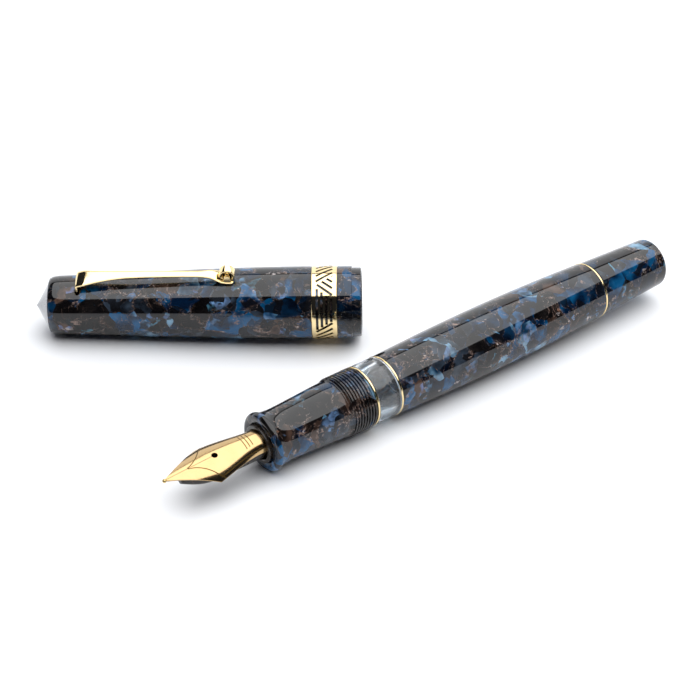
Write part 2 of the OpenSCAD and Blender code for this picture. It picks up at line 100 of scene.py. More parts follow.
class Shader:
    """A material's node tree, built by small calls. A value is a number, a colour or a socket."""

    def __init__(self, name):
        self.material = bpy.data.materials.new(name)
        self.material.use_nodes = True
        self.tree = self.material.node_tree
        self.tree.nodes.clear()

    def put(self, socket, value):
        if isinstance(value, bpy.types.NodeSocket):
            self.tree.links.new(value, socket)
        elif isinstance(value, tuple) and socket.type == "RGBA" and len(value) == 3:
            socket.default_value = (*value, 1)
        else:
            socket.default_value = value

    def node(self, kind, inputs=None, **settings):
        made = self.tree.nodes.new("ShaderNode" + kind)
        for key, value in settings.items():
            setattr(made, key, value)
        for key, value in (inputs or {}).items():
            self.put(made.inputs[key], value)
        return made

    def coords(self, shift=(0, 0, 0), stretch=(1, 1, 1)):
        """Object coordinates in millimetres, moved and stretched."""
        where = self.node("TexCoord").outputs["Object"]
        scale = tuple(s / MM for s in stretch)
        mapped = self.node("Mapping", {"Vector": where, "Location": shift, "Scale": scale})
        return mapped.outputs["Vector"]

    def maths(self, operation, a, b=0.0):
        return self.node("Math", {0: a, 1: b}, operation=operation).outputs[0]

    def vectors(self, operation, a, b=(0, 0, 0)):
        return self.node("VectorMath", {0: a, 1: b}, operation=operation).outputs[0]

    def scaled(self, vector, factor):
        inputs = {0: vector, "Scale": factor}
        return self.node("VectorMath", inputs, operation="SCALE").outputs[0]

    def between(self, value, low, high, to_low=0.0, to_high=1.0):
        """A smooth step of value from low to high."""
        made = self.node("MapRange", {"Value": value}, interpolation_type="SMOOTHSTEP")
        limits = {"From Min": low, "From Max": high, "To Min": to_low, "To Max": to_high}
        for key, limit in limits.items():
            self.put(made.inputs[key], limit)
        return made.outputs["Result"]

    def noise(self, vector, scale, detail=2.0, roughness=0.5, output="Fac"):
        inputs = {"Vector": vector, "Scale": scale, "Detail": detail, "Roughness": roughness}
        return self.node("TexNoise", inputs).outputs[output]

    def cells(self, vector, scale, feature="F1", randomness=1.0):
        inputs = {"Vector": vector, "Scale": scale, "Randomness": randomness}
        return self.node("TexVoronoi", inputs, feature=feature)

    def ramp(self, value, stops, interpolation="LINEAR"):
        made = self.node("ValToRGB", {"Fac": value})
        made.color_ramp.interpolation = interpolation
        points = made.color_ramp.elements
        while len(points) < len(stops):
            points.new(0.5)
        for point, (place, colour) in zip(points, stops):
            point.position = place
            point.color = (*colour, 1)
        return made.outputs["Color"]

    def mixed(self, factor, a, b, blend="MIX"):
        made = self.node("Mix", data_type="RGBA", blend_type=blend)
        self.put(made.inputs[0], factor)
        self.put(made.inputs[6], a)
        self.put(made.inputs[7], b)
        return made.outputs[2]

    def bump(self, height, distance, strength=1.0):
        inputs = {"Height": height, "Distance": distance * MM, "Strength": strength}
        return self.node("Bump", inputs).outputs["Normal"]

    def surface(self, **inputs):
        """Ends the tree with one Principled shader and returns the material."""
        named = {key.replace("_", " "): value for key, value in inputs.items()}
        principled = self.node("BsdfPrincipled", named)
        output = self.node("OutputMaterial")
        self.tree.links.new(principled.outputs[0], output.inputs["Surface"])
        return self.material


# ------------------------------------------------------------------ materials


def marbled_resin(name, shift):
    """Polished resin: near-black shards, some deep blue or icy, with fibrous copper pearl veins."""
    s = Shader(name)
    middle = (0.5, 0.5, 0.5)
    shards_per_mm, chips_per_mm = 0.23, 0.46
    at = s.coords(shift)
    drift = s.vectors("SUBTRACT", s.noise(at, 0.16, 2, output="Color"), middle)
    bent = s.vectors("ADD", at, s.scaled(drift, 5.0))

    # Big shards: each has its own kind, a dark and a light tone and a slow change between them. The light tone is
    # partly the shard's own colour and partly a painted pearl sheen.
    shards = s.cells(bent, shards_per_mm)
    kind = s.node("SeparateColor", {"Color": shards.outputs["Color"]}).outputs["Red"]
    edge = s.cells(bent, shards_per_mm, "DISTANCE_TO_EDGE").outputs["Distance"]
    own = s.vectors("ADD", s.scaled(shards.outputs["Color"], 31.0), at)
    # painted sheen: a fixed pearly brightening across each shard, the same under any light
    sheen = s.between(s.noise(own, 0.26, 2.0, 0.5), 0.38, 0.70)
    haze = s.noise(own, 1.1, 3, 0.6)
    dark = s.ramp(
        kind,
        [
            (0.0, (0.0030, 0.0025, 0.0025)),
            (0.28, (0.0010, 0.0030, 0.0090)),
            (0.44, (0.0010, 0.0090, 0.0300)),
            (0.66, (0.0070, 0.0095, 0.0140)),
            (0.84, (0.0040, 0.0260, 0.0600)),
            (0.91, (0.0080, 0.0052, 0.0040)),
        ],
        "CONSTANT",
    )
    light = s.ramp(
        kind,
        [
            (0.0, (0.0110, 0.0090, 0.0085)),
            (0.28, (0.0030, 0.0240, 0.0620)),
            (0.44, (0.0030, 0.0860, 0.2150)),
            (0.66, (0.0360, 0.0520, 0.0760)),
            (0.84, (0.2000, 0.3700, 0.5300)),
            (0.91, (0.0900, 0.0520, 0.0380)),
        ],
        "CONSTANT",
    )
    chips = s.mixed(sheen, dark, light)

    # Small chips laid over them: some near black, a few icy
    beside = s.vectors("ADD", bent, (7.3, 1.9, 4.1))
    small = s.cells(beside, chips_per_mm)
    small_kind = s.node("SeparateColor", {"Color": small.outputs["Color"]})
    shadow = s.between(small_kind.outputs["Green"], 0.58, 0.66)
    chips = s.mixed(s.maths("MULTIPLY", shadow, 0.85), chips, (0.0045, 0.0038, 0.0042))
    icy = s.between(small_kind.outputs["Blue"], 0.89, 0.93)
    icy = s.maths("MULTIPLY", icy, s.between(s.noise(own, 0.55, 2.5, 0.5), 0.40, 0.72, 0.0, 0.75))
    icy_colour = s.mixed(kind, (0.10, 0.30, 0.42), (0.16, 0.24, 0.50))
    chips = s.mixed(icy, chips, icy_colour)

    # Copper pearl: veins along the shards' rims and finer threads along the chips' rims
    fibres = s.noise(s.vectors("ADD", bent, s.scaled(drift, 3.0)), 2.1, 5, 0.75)
    where = s.between(s.noise(at, 0.17, 2, 0.5), 0.47, 0.60)
    rim = s.between(edge, 0.13, 0.01)
    vein = s.maths("MULTIPLY", s.maths("MULTIPLY", rim, where), s.between(fibres, 0.46, 0.60))
    small_edge = s.cells(beside, chips_per_mm, "DISTANCE_TO_EDGE").outputs["Distance"]
    thread = s.maths("MULTIPLY", s.between(small_edge, 0.07, 0.0), s.between(fibres, 0.48, 0.60))
    thread = s.maths("MULTIPLY", thread, s.between(s.noise(at, 0.24, 2, 0.5), 0.44, 0.56, 0.0, 0.8))
    vein = s.maths("MAXIMUM", vein, thread)
    pearl = s.ramp(
        s.noise(bent, 1.6, 4, 0.75),
        [
            (0.32, (0.035, 0.020, 0.014)),
            (0.50, (0.150, 0.092, 0.070)),
            (0.60, (0.360, 0.270, 0.235)),
            (0.70, (0.800, 0.720, 0.700)),
        ],
    )
    colour = s.mixed(vein, chips, pearl)

    # Scattered bright slivers, drawn out along the piece
    slivers = s.cells(s.coords(shift, (0.5, 1.7, 1.3)), 0.9)
    sliver_kind = s.node("SeparateColor", {"Color": slivers.outputs["Color"]})
    glint = s.between(sliver_kind.outputs["Red"], 0.955, 0.965)
    glint = s.maths("MULTIPLY", glint, s.between(s.noise(at, 1.3, 3, 0.6), 0.42, 0.66))
    glint_colour = s.ramp(
        sliver_kind.outputs["Blue"],
        [
            (0.0, (0.26, 0.18, 0.15)),
            (0.4, (0.42, 0.37, 0.36)),
            (0.6, (0.12, 0.24, 0.44)),
            (0.85, (0.18, 0.09, 0.06)),
        ],
        "CONSTANT",
    )
    colour = s.mixed(glint, colour, glint_colour)

    # Under the flat polish each shard lies at its own lean
    lean = s.vectors("SUBTRACT", shards.outputs["Color"], middle)
    ruffle = s.vectors("SUBTRACT", s.noise(bent, 1.3, 3, output="Color"), middle)
    lean = s.vectors("ADD", s.scaled(lean, 0.7), s.scaled(ruffle, 1.1))
    normal = s.vectors("ADD", s.node("NewGeometry").outputs["Normal"], lean)
    normal = s.vectors("NORMALIZE", normal)
    pearly = s.maths("MAXIMUM", s.maths("MULTIPLY", sheen, 0.45), s.maths("MAXIMUM", vein, glint))
    return s.surface(
        Base_Color=colour,
        Metallic=s.maths("MULTIPLY", pearly, 0.55),
        Roughness=s.between(haze, 0.3, 0.7, 0.34, 0.5),
        Specular_IOR_Level=0.0,
        Normal=normal,
        Coat_Weight=1.0,
        Coat_Roughness=0.02,
        Coat_IOR=1.5,
    )


def crown_resin():
    """Smoky grey pearl of the crown's cone."""
    s = Shader("crown_resin")
    at = s.coords()
    swirl = s.noise(s.vectors("ADD", at, s.scaled(s.noise(at, 0.4, 2, output="Color"), 4.0)), 0.6, 3)
    colour = s.ramp(swirl, [(0.3, (0.10, 0.11, 0.135)), (0.7, (0.19, 0.20, 0.235))])
    return s.surface(
        Base_Color=colour,
        Roughness=s.between(swirl, 0.3, 0.7, 0.10, 0.18),
        Coat_Weight=1.0,
        Coat_Roughness=0.02,
    )


def polished_gold(name, colour, deep, shine):
    """Gold with a faint unevenness of tone and polish."""
    s = Shader(name)
    at = s.coords()
    tone = s.noise(at, 0.35, 3)
    smear = s.noise(s.coords(stretch=(0.25, 3.0, 3.0)), 1.2, 4, 0.6)
    return s.surface(
        Base_Color=s.mixed(s.between(tone, 0.3, 0.7, 0.0, 0.35), colour, deep),
        Metallic=1.0,
        Roughness=s.between(smear, 0.3, 0.75, shine, shine + 0.05),
    )


def satin(name, colour, light, roughness, scale=1.5, metallic=0.0):
    """A moulded or turned surface: two close tones, an even satin and a fine grain."""
    s = Shader(name)
    at = s.coords()
    grain = s.noise(at, scale, 4, 0.6)
    return s.surface(
        Base_Color=s.mixed(s.between(grain, 0.3, 0.7), colour, light),
        Metallic=metallic,
        Roughness=s.between(grain, 0.25, 0.75, roughness - 0.06, roughness + 0.06),
        Normal=s.bump(s.noise(at, scale * 4, 3), 0.01, 0.25),
    )


def clear_acrylic():
    """The ink window: clear, with faint blue patches in places that are painted reflections of the blue resin
    around it.
    """
    s = Shader("clear_acrylic")
    smear = s.noise(s.coords(), 0.5, 2)
    # painted reflection: blue patches that stand in for the resin reflected in the window
    painted_blue_reflection = s.between(s.noise(s.coords((5.0, 2.0, 9.0)), 0.30, 2), 0.50, 0.66, 0.0, 0.6)
    clear = s.mixed(smear, (0.90, 0.93, 0.96), (0.97, 0.98, 0.99))
    return s.surface(
        Base_Color=s.mixed(painted_blue_reflection, clear, (0.42, 0.66, 0.86)),
        Roughness=s.between(smear, 0.3, 0.7, 0.0, 0.02),
        IOR=1.42,
        Transmission_Weight=0.96,
    )


def paper():
    """The pale table."""
    s = Shader("paper")
    return s.surface(
        Base_Color=s.mixed(s.noise(s.coords(), 0.05, 2), (0.93, 0.935, 0.955), (0.95, 0.955, 0.97)),
        Roughness=0.9,
        Specular_IOR_Level=0.1,
    )


def glow(name, colour, strength):
    """An even light of its own, for the softbox and the backdrop."""
    s = Shader(name)
    light = s.node("Emission", {"Color": colour, "Strength": strength})
    output = s.node("OutputMaterial")
    s.tree.links.new(light.outputs[0], output.inputs["Surface"])
    return s.material


RESIN_CAP = marbled_resin("resin_cap", (3.0, 11.0, -4.0))
RESIN_GRIP = marbled_resin("resin_grip", (-31.0, 4.0, 17.0))
RESIN_BARREL = marbled_resin("resin_barrel", (12.0, -23.0, 8.0))
RESIN_KNOB = marbled_resin("resin_knob", (57.0, 9.0, -13.0))
CROWN = crown_resin()
GOLD = polished_gold("gold_plate", (0.93, 0.74, 0.41), (0.82, 0.60, 0.29), 0.06)
NIB_GOLD = polished_gold("nib_gold", (0.56, 0.385, 0.19), (0.51, 0.335, 0.15), 0.13)
# painted shade: dark gold that stands in for the shade inside the nib's engraved grooves
ENGRAVING_SHADE = polished_gold("engraving_painted_shade", (0.15, 0.090, 0.026), (0.12, 0.070, 0.020), 0.40)
TIPPING = satin("tipping_metal", (0.62, 0.45, 0.18), (0.72, 0.55, 0.26), 0.16, 3.0, 1.0)
EBONITE = satin("ebonite", (0.012, 0.009, 0.007), (0.030, 0.020, 0.013), 0.22)
RUBBER = satin("seal_rubber", (0.012, 0.012, 0.012), (0.025, 0.025, 0.025), 0.6)
BRASS = satin("mechanism_brass", (0.72, 0.52, 0.24), (0.80, 0.60, 0.30), 0.28, 0.8, 1.0)
STEEL = satin("spindle_steel", (0.60, 0.60, 0.61), (0.70, 0.70, 0.71), 0.25, 0.8, 1.0)
PLASTIC = satin("piston_plastic", (0.78, 0.76, 0.70), (0.84, 0.82, 0.76), 0.38)
CLEAR = clear_acrylic()


# ------------------------------------------------------------------ mesh tools

SHARP_ANGLE = 32.0


def solid_mesh(name, points, faces, axes):
    """A mesh in the frame's axes with its faces turned outwards."""
    mesh = bpy.data.meshes.new(name)
    mesh.from_pydata([axes @ (Vector(p) * MM) for p in points], [], faces)
    work = bmesh.new()
    work.from_mesh(mesh)
    bmesh.ops.recalc_face_normals(work, faces=work.faces)
    work.to_mesh(mesh)
    work.free()
    return mesh


def piece(name, points, faces, axes, material, body, slot, stands_for, sharp=SHARP_ANGLE):
    """A piece from points in some axes, in millimetres; its mesh is made in the frame's axes."""
    mesh = solid_mesh(name, points, faces, axes)
    mesh.shade_smooth()
    mesh.set_sharp_from_angle(angle=math.radians(sharp))
    made = bpy.data.objects.new(name, mesh)
    bpy.context.scene.collection.objects.link(made)
    mesh.materials.append(material)
    if body:
        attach(made, body)
        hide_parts(*stands_for)
    return made


def ring_faces(rows, columns, closed):
    """Quads of a grid that closes round its columns, and round its rows if closed."""
    count = rows if closed else rows - 1
    return [
        (
            i * columns + j,
            ((i + 1) % rows) * columns + j,
            ((i + 1) % rows) * columns + (j + 1) % columns,
            i * columns + (j + 1) % columns,
        )
        for i in range(count)
        for j in range(columns)
    ]


def end_faces(rows, columns):
    """The two faces that close the ends of a grid of rows."""
    return [tuple(range(columns)), tuple(range((rows - 1) * columns, rows * columns))]


def bar_faces(rows):
    """Faces of a bar whose rows are (side one in, side one out, side two in, side two out)."""
    faces = []
    for i in range(rows - 1):
        a, b = i * 4, i * 4 + 4
        faces += [(a, a + 2, b + 2, b), (a + 1, b + 1, b + 3, a + 3)]
        faces += [(a, b, b + 1, a + 1), (a + 2, a + 3, b + 3, b + 2)]
    last = (rows - 1) * 4
    return faces + [(0, 1, 3, 2), (last, last + 2, last + 3, last + 1)]


TURN_STEPS = 192


def turned_mesh(outline, steps=TURN_STEPS, radius=None):
    """Points and faces of a solid of revolution about x from a closed (station, radius) outline.

    A radius of 0 is a point on the axis. radius(station, r, angle) may change each point's own.
    """
    points, rings = [], []
    for station, r in outline:
        if r < 1e-6:
            rings.append([len(points)])
            points.append((station, 0.0, 0.0))
            continue
        rings.append(list(range(len(points), len(points) + steps)))
        for j in range(steps):
            a = 2 * math.pi * j / steps
            here = radius(station, r, a) if radius else r
            points.append((station, here * math.sin(a), here * math.cos(a)))
    faces = []
    for first, second in zip(rings, rings[1:] + rings[:1]):
        if len(first) == 1 and len(second) == 1:
            continue
        for j in range(steps):
            k = (j + 1) % steps
            loop = [first[j % len(first)], first[k % len(first)]]
            loop += [second[k % len(second)], second[j % len(second)]]
            faces.append(tuple(dict.fromkeys(loop)))
    return points, faces


def turned(name, outline, axes, material, body, slot, stands_for, radius=None, sharp=SHARP_ANGLE):
    """A piece that is a solid of revolution about the x of some axes."""
    points, faces = turned_mesh(outline, radius=radius)
    return piece(name, points, faces, axes, material, body, slot, stands_for, sharp)


def flowing(knots, step):
    """A smooth line through (station, radius) knots, as points about step apart."""
    made = []
    for i in range(len(knots) - 1):
        before, a = knots[max(i - 1, 0)], knots[i]
        b, after = knots[i + 1], knots[min(i + 2, len(knots) - 1)]
        pieces = max(1, round(math.dist(a, b) / step))
        for k in range(pieces):
            t = k / pieces
            weights = (
                (-t + 2 * t * t - t**3) / 2,
                (2 - 5 * t * t + 3 * t**3) / 2,
                (t + 4 * t * t - 3 * t**3) / 2,
                (-t * t + t**3) / 2,
            )
            line = zip(weights, (before, a, b, after))
            made.append(tuple(map(sum, zip(*[(w * p[0], w * p[1]) for w, p in line]))))
    return made + [knots[-1]]


def arc(centre, r, start, end, count):
    """Points of a circle about centre in the (station, radius) plane, angles in degrees from +x."""
    turns = [math.radians(start + (end - start) * i / count) for i in range(count + 1)]
    return [(centre[0] + r * math.cos(a), centre[1] + r * math.sin(a)) for a in turns]


def cut(target, axes, points, faces, crossing=False):
    """Takes a closed shape, made in some axes, away from a piece; its parts may cross."""
    cutter = bpy.data.objects.new("cutter", solid_mesh("cutter", points, faces, axes))
    bpy.context.scene.collection.objects.link(cutter)
    bpy.context.view_layer.update()
    modifier = target.modifiers.new("cut", "BOOLEAN")
    modifier.operation = "DIFFERENCE"
    modifier.solver = "EXACT"
    modifier.object = cutter
    modifier.use_self = crossing
    graph = bpy.context.evaluated_depsgraph_get()
    result = bpy.data.meshes.new_from_object(target.evaluated_get(graph))
    target.modifiers.clear()
    old, target.data = target.data, result
    bpy.data.meshes.remove(old)
    bpy.data.objects.remove(cutter)
    target.data.shade_smooth()
    target.data.set_sharp_from_angle(angle=math.radians(SHARP_ANGLE))


def along_z(a, b, h):
    return (a, b, h)


def along_y(a, b, h):
    return (a, h, b)


def prism(outline, low, high, place=along_z, soft=0.0):
    """Points and faces of an outline drawn out from low to high, its rims drawn in by soft."""
    middle = [sum(p[k] for p in outline) / len(outline) for k in (0, 1)]
    if soft:
        levels = [(low, soft), (low + soft, 0), (high - soft, 0), (high, soft)]
    else:
        levels = [(low, 0), (high, 0)]
    points = []
    for h, inset in levels:
        for a, b in outline:
            away = max(math.hypot(a - middle[0], b - middle[1]), 1e-6)
            keep = 1 - inset / away
            points.append(
                place(middle[0] + (a - middle[0]) * keep, middle[1] + (b - middle[1]) * keep, h)
            )
    rows, columns = len(levels), len(outline)
    return points, ring_faces(rows, columns, False) + end_faces(rows, columns)


def block(low, high):
    """Points and faces of a box from its lowest corner to its highest."""
    xs, ys, zs = zip(low, high)
    points = [(x, y, z) for x in xs for y in ys for z in zs]
    faces = [(0, 1, 3, 2), (4, 6, 7, 5), (0, 4, 5, 1), (2, 3, 7, 6), (0, 2, 6, 4), (1, 5, 7, 3)]
    return points, faces


def joined(shapes):
    """Several (points, faces) shapes as one."""
    points, faces = [], []
    for some, theirs in shapes:
        start = len(points)
        points += some
        faces += [tuple(i + start for i in f) for f in theirs]
    return points, faces


# ------------------------------------------------------------------ pen body

RING_W = 0.45
RING_PROUD = 0.05
THREAD_R = 6.28
THREAD_ROOT = 5.94
PITCH = 0.67
THREAD_FROM, THREAD_TO = -6.5, -RING_W
COLLAR = -6.85
GRIP_FRONT = reach("grip_section", PEN)[0]
LIP_R = 6.0
LIP_ROLL = 0.95
BELLY_R, BELLY_AT, BELLY_CURVE = 6.84, 32.0, 0.00087
WINDOW_L = 5.35
WINDOW_R = (6.2, 6.24)
CHAMBER_R = 4.6
SPIGOT_R = 5.3
SPIGOT_FROM, SPIGOT_TO = -2.6, 9.2
BARREL_BORE_R, CHAMBER_TO = 5.0, 36.2
BARREL_FROM, BARREL_TO = reach("barrel", PEN)[:2]
KNOB_FROM, TAIL = reach("filler_knob", PEN)[:2]
KNOB_R = (6.03, 5.27)
KNOB_BORE_R, KNOB_BORE_TO = 4.2, 70.0
HOUSING_FRONT = reach("nib_housing", PEN)[0]
HOUSING_HEAD_R, HOUSING_R = 3.9, 3.6
HOUSING_BORE = 3.12


def barrel_r(station):
    return BELLY_R - BELLY_CURVE * (station - BELLY_AT) ** 2


def soft_edged(first, last, r, inner, soft):
    """Outline of a plain turned ring with rounded outer corners."""
    out = arc((first + soft, r - soft), soft, 180, 90, 4)
    out += arc((last - soft, r - soft), soft, 90, 0, 4)
    return out + [(last, inner), (first, inner)]


def reach_inner(node):
    """Smallest radius of a CAD ring about the pen's axis."""
    inverse = PEN.inverted()
    points = [inverse @ v.co / MM for v in nodes[node].data.vertices]
    return min(math.hypot(p.y, p.z) for p in points)


def make_trim_rings():
    for name, first, r in (
        ("front_trim_ring", -RING_W, WINDOW_R[0]),
        ("middle_trim_ring", WINDOW_L, barrel_r(BARREL_FROM)),
        ("tail_trim_ring", BARREL_TO, barrel_r(BARREL_TO)),
    ):
        inner = reach_inner(name)
        proud = r + RING_PROUD
        outline = soft_edged(first + FIT / 2, first + RING_W - FIT / 2, proud, inner, 0.13)
        turned(name + "_gold", outline, PEN, GOLD, "pen", "gold_plate", [name])


def make_grip():
    """The grip: rolled lip, waist, collar and the helical cap thread behind it."""
    roll = (GRIP_FRONT + LIP_ROLL, LIP_R - LIP_ROLL)
    lip = arc(roll, LIP_ROLL, 180, 62, 12)
    waist = [(-22.2, 5.64), (-21.2, 5.46), (-19.7, 5.37), (-17.0, 5.46), (-13.0, 5.66)]
    body = flowing([lip[-1]] + waist + [(-9.0, 5.86), (COLLAR - 0.35, 5.90)], 0.4)
    collar = [(COLLAR - 0.08, 5.92), (COLLAR, 5.98), (COLLAR + 0.06, 6.05), (COLLAR + 0.12, 6.08)]
    collar += [(THREAD_FROM - 0.12, 6.08), (THREAD_FROM - 0.06, 6.05), (THREAD_FROM, THREAD_ROOT)]
    steps, thread_l = 120, THREAD_TO - THREAD_FROM
    thread = [(THREAD_FROM + thread_l * i / steps, THREAD_ROOT) for i in range(steps + 1)]
    bore_from = SPIGOT_FROM - 0.1
    inner = [(THREAD_TO, SPIGOT_R + FIT), (bore_from, SPIGOT_R + FIT), (bore_from, 4.2), (-9.8, 4.2)]
    inner += [(-9.8, HOUSING_R + FIT), (-20.7, HOUSING_R + FIT), (-20.7, HOUSING_HEAD_R + FIT)]
    inner += [(GRIP_FRONT + 0.6, HOUSING_HEAD_R + FIT)]
    outline = [(GRIP_FRONT + 0.25, 4.02), (GRIP_FRONT + 0.05, 4.22)] + lip[:-1] + body + collar
    outline += thread[1:] + inner

    def ridge(station, r, angle):
        """The thread's radius: a ridge that winds round and runs out at both ends."""
        if r != THREAD_ROOT or not THREAD_FROM <= station <= THREAD_TO:
            return r
        turn = (station - THREAD_FROM) / PITCH - angle / (2 * math.pi)
        across = abs(turn - math.floor(turn) - 0.5) * 2
        rise = min(1.0, max(0.0, (0.78 - across) / 0.34))
        ends = min(1.0, (station - THREAD_FROM) / 0.35, (THREAD_TO - station) / 0.3)
        return THREAD_ROOT + (THREAD_R - THREAD_ROOT) * rise * max(0.0, ends)

    turned("grip", outline, PEN, RESIN_GRIP, "pen", "marbled_resin", ["grip_section"], ridge, 50)


def make_window():
    """The clear window and the spigots on both its sides, which hold grip and barrel."""
    edge = 0.08
    outline = [(SPIGOT_FROM, CHAMBER_R), (SPIGOT_FROM, SPIGOT_R), (FIT, SPIGOT_R)]
    outline += arc((FIT + edge, WINDOW_R[0] - edge), edge, 180, 90, 3)
    outline += arc((WINDOW_L - FIT - edge, WINDOW_R[1] - edge), edge, 90, 0, 3)
    outline += [(WINDOW_L - FIT, SPIGOT_R), (SPIGOT_TO, SPIGOT_R), (SPIGOT_TO, CHAMBER_R)]
    turned("window", outline, PEN, CLEAR, "pen", "clear_acrylic", ["ink_window"])


def make_barrel():
    """The barrel: a slow belly, with softened rims and a stepped bore."""
    first, last = BARREL_FROM, BARREL_TO
    edge, count = 0.06, 60
    stations = [first + (last - first) * i / count for i in range(1, count)]
    outline = [(first, barrel_r(first) - edge), (first + edge, barrel_r(first))]
    outline += [(station, barrel_r(station)) for station in stations]
    outline += [(last - edge, barrel_r(last)), (last, barrel_r(last) - edge)]
    outline += [(last, BARREL_BORE_R), (CHAMBER_TO, BARREL_BORE_R), (CHAMBER_TO, CHAMBER_R)]
    spigot_end = SPIGOT_TO + 0.1
    outline += [(spigot_end, CHAMBER_R), (spigot_end, SPIGOT_R + FIT), (first, SPIGOT_R + FIT)]
    turned("barrel_body", outline, PEN, RESIN_BARREL, "pen", "marbled_resin", ["barrel"])


def make_knob():
    """The filler knob: a slow taper and a domed, softly rounded tail."""
    soft, edge = 0.82, 0.12
    slope = (KNOB_R[0] - KNOB_R[1]) / (TAIL - KNOB_FROM)
    flank = [(KNOB_FROM, KNOB_R[0] - edge), (KNOB_FROM + edge, KNOB_R[0])]
    count = 16
    for i in range(1, count + 1):
        station = KNOB_FROM + edge + (TAIL - soft - KNOB_FROM - edge) * i / count
        flank.append((station, KNOB_R[0] - slope * (station - KNOB_FROM)))
    r_end = flank[-1][1]
    rounding = arc((TAIL - soft, r_end - soft), soft, 88, 12, 8)
    outline = flank + rounding + [(TAIL - 0.012, r_end - soft), (TAIL, 0.0)]
    bore, depth = KNOB_BORE_R + FIT, KNOB_BORE_TO + FIT
    outline += [(depth, 0.0), (depth, bore), (KNOB_FROM, bore)]
    turned("knob", outline, PEN, RESIN_KNOB, "knob", "marbled_resin", ["filler_knob"])


# ------------------------------------------------------------------ nib unit

NIB_OUT = 20.85
NIB_TIP = HOUSING_FRONT - NIB_OUT
SHOULDER = NIB_TIP + 9.47
NIB_BACK = -17.0
TIP_R, SHANK_R, BLADE_R = 1.6, 3.08, 5.6
TIP_W, SHANK_W, NIB_HALF_W = 0.34, 2.95, 4.6
NIB_BEND_FROM, NIB_BEND = -30.0, 0.78
NIB_T = 0.35
BREATHER_AT, BREATHER_R = NIB_TIP + 10.7, 0.62


def ease(value, low, high):
    """A smooth step from 0 at low to 1 at high."""
    t = min(1.0, max(0.0, (value - low) / (high - low)))
    return t * t * (3 - 2 * t)


def nib_curve_r(s):
    """Radius of the nib's curve across at a station."""
    if s < SHOULDER:
        t = max(0.0, (s - NIB_TIP) / (SHOULDER - NIB_TIP))
        return TIP_R + (BLADE_R - TIP_R) * t**0.55
    return BLADE_R - (BLADE_R - SHANK_R) * ease(s, SHOULDER, HOUSING_FRONT)


def nib_side(s):
    """How far the nib's sides still stand out on their way from the shoulder to the shank."""
    return 1 - ease(s, SHOULDER - 3, HOUSING_FRONT)


def nib_w(s):
    """Half width of the nib at a station."""
    if s < SHOULDER:
        return TIP_W + (NIB_HALF_W - TIP_W) * max(0.0, (s - NIB_TIP) / (SHOULDER - NIB_TIP))
    return SHANK_W + (NIB_HALF_W - SHANK_W) * nib_side(s) / nib_side(SHOULDER)


def nib_top(s):
    """Height of the nib's ridge, which bends down towards the tip."""
    return SHANK_R - NIB_BEND * max(0.0, (NIB_BEND_FROM - s) / (NIB_BEND_FROM - NIB_TIP)) ** 1.3


def nib_point(s, share, depth):
    """A point of the nib: station, share of the half width, depth below the outer skin."""
    r = nib_curve_r(s)
    a = math.asin(nib_w(s) / r) * share
    return (s, (r - depth) * math.sin(a), nib_top(s) - r + (r - depth) * math.cos(a))


def make_nib():
    """The blade: a curved sheet with rounded edges, a breather hole and the slit."""
    rows, columns = 150, 44
    stations = [NIB_TIP + (NIB_BACK - NIB_TIP) * i / rows for i in range(rows + 1)]
    soft = 0.09
    points = []
    for s in stations:
        inset = soft / max(nib_w(s), 0.3)
        shares = [1 - inset - (2 - 2 * inset) * j / columns for j in range(columns + 1)]
        points += [nib_point(s, share, 0) for share in shares]
        points += [nib_point(s, -1, soft), nib_point(s, -1, NIB_T - soft)]
        points += [nib_point(s, share, NIB_T) for share in reversed(shares)]
        points += [nib_point(s, 1, NIB_T - soft), nib_point(s, 1, soft)]
    loop = len(points) // (rows + 1)
    faces = ring_faces(rows + 1, loop, False)
    faces += end_faces(rows + 1, loop)
    made = piece("nib_blade", points, faces, NIB, NIB_GOLD, "pen", "nib_gold", ["nib"], 40)
    hole = arc((BREATHER_AT, 0.0), BREATHER_R, 0, 351, 39)
    cut(made, NIB, *prism(hole, -1.0, SHANK_R + 2))
    slit = 0.045
    cut(made, NIB, *block((NIB_TIP - 1, -slit, -2), (BREATHER_AT, slit, SHANK_R + 2)))


def engraved(name, lines, width):
    """Fine engraved lines on the nib, laid as thin dark strips on its skin that paint the shade of the grooves:
    each is a list of (station, y) places on its skin.
    """
    above, below, widest = -0.008, 0.05, 0.995
    shapes = []
    for line in lines:
        points = []
        for i, (s, y) in enumerate(line):
            ahead, behind = line[min(i + 1, len(line) - 1)], line[max(i - 1, 0)]
            run = Vector((ahead[0] - behind[0], ahead[1] - behind[1])).normalized()
            side = Vector((-run.y, run.x)) * width / 2
            for sign in (1, -1):
                x, across = s + side.x * sign, y + side.y * sign
                r = nib_curve_r(x)
                share = math.asin(max(-1, min(1, across / r))) / math.asin(nib_w(x) / r)
                share = max(-widest, min(widest, share))
                points += [nib_point(x, share, depth) for depth in (above, below)]
        shapes.append((points, bar_faces(len(line))))
    points, faces = joined(shapes)
    return piece(name, points, faces, NIB, ENGRAVING_SHADE, "pen", "nib_gold", [], sharp=40)


